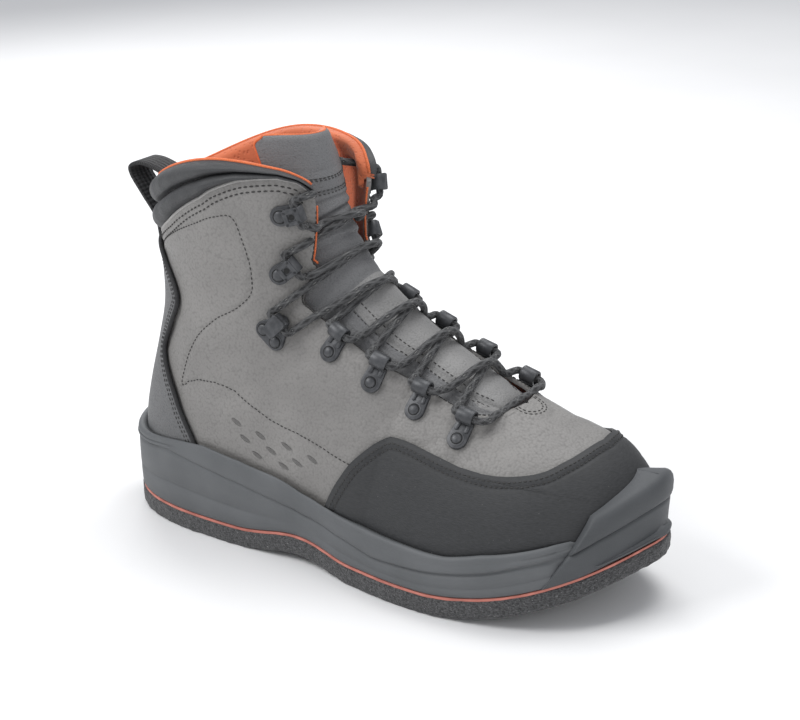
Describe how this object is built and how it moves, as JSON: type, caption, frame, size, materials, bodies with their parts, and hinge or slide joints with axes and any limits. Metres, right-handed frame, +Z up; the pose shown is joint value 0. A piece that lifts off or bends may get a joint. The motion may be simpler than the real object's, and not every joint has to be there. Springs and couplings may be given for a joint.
{
  "type": "wading boot",
  "caption": "Lace-up wading boot for the right foot, with a hollow upper, padded collar and tongue, toe cap, moulded midsole and thick felt sole.",
  "frame": {"origin": "middle of the heel's flat tread, on the floor", "axes": "+X towards the toe, +Y towards the medial side, the wearer's left, +Z up"},
  "size_m": [0.3188, 0.1148, 0.2192],
  "materials": {
    "felt": "coarse felt with light flecks",
    "orange_bond": "matt",
    "moulded_foam": "smooth matt",
    "toe_rubber": "brushed matt",
    "synthetic_leather": "fine pebble grain, satin",
    "counter_leather": "smooth satin",
    "collar_padding": "soft, smooth",
    "tongue_leather": "soft, fine grain",
    "orange_lining": "brushed lining",
    "webbing": "ribbed weave",
    "coated_metal": "dark satin coating",
    "lace_cord": "round braid"
  },
  "bodies": {
    "root": {"felt_outsole": "felt", "bond_strip": "orange_bond", "midsole": "moulded_foam", "toe_bumper": "moulded_foam", "insole": "orange_lining", "upper": "synthetic_leather", "toe_cap": "toe_rubber", "heel_counter": "counter_leather", "collar": "collar_padding", "tongue": "tongue_leather", "pull_loop": "webbing", "lace": "lace_cord", "loop_1_lateral": "coated_metal", "loop_1_medial": "coated_metal", "loop_2_lateral": "coated_metal", "loop_2_medial": "coated_metal", "loop_3_lateral": "coated_metal", "loop_3_medial": "coated_metal", "loop_4_lateral": "coated_metal", "loop_4_medial": "coated_metal", "lock_hook_lateral": "coated_metal", "lock_hook_medial": "coated_metal", "hook_2_lateral": "coated_metal", "hook_2_medial": "coated_metal", "hook_1_lateral": "coated_metal", "hook_1_medial": "coated_metal"}
  },
  "joints": []
}
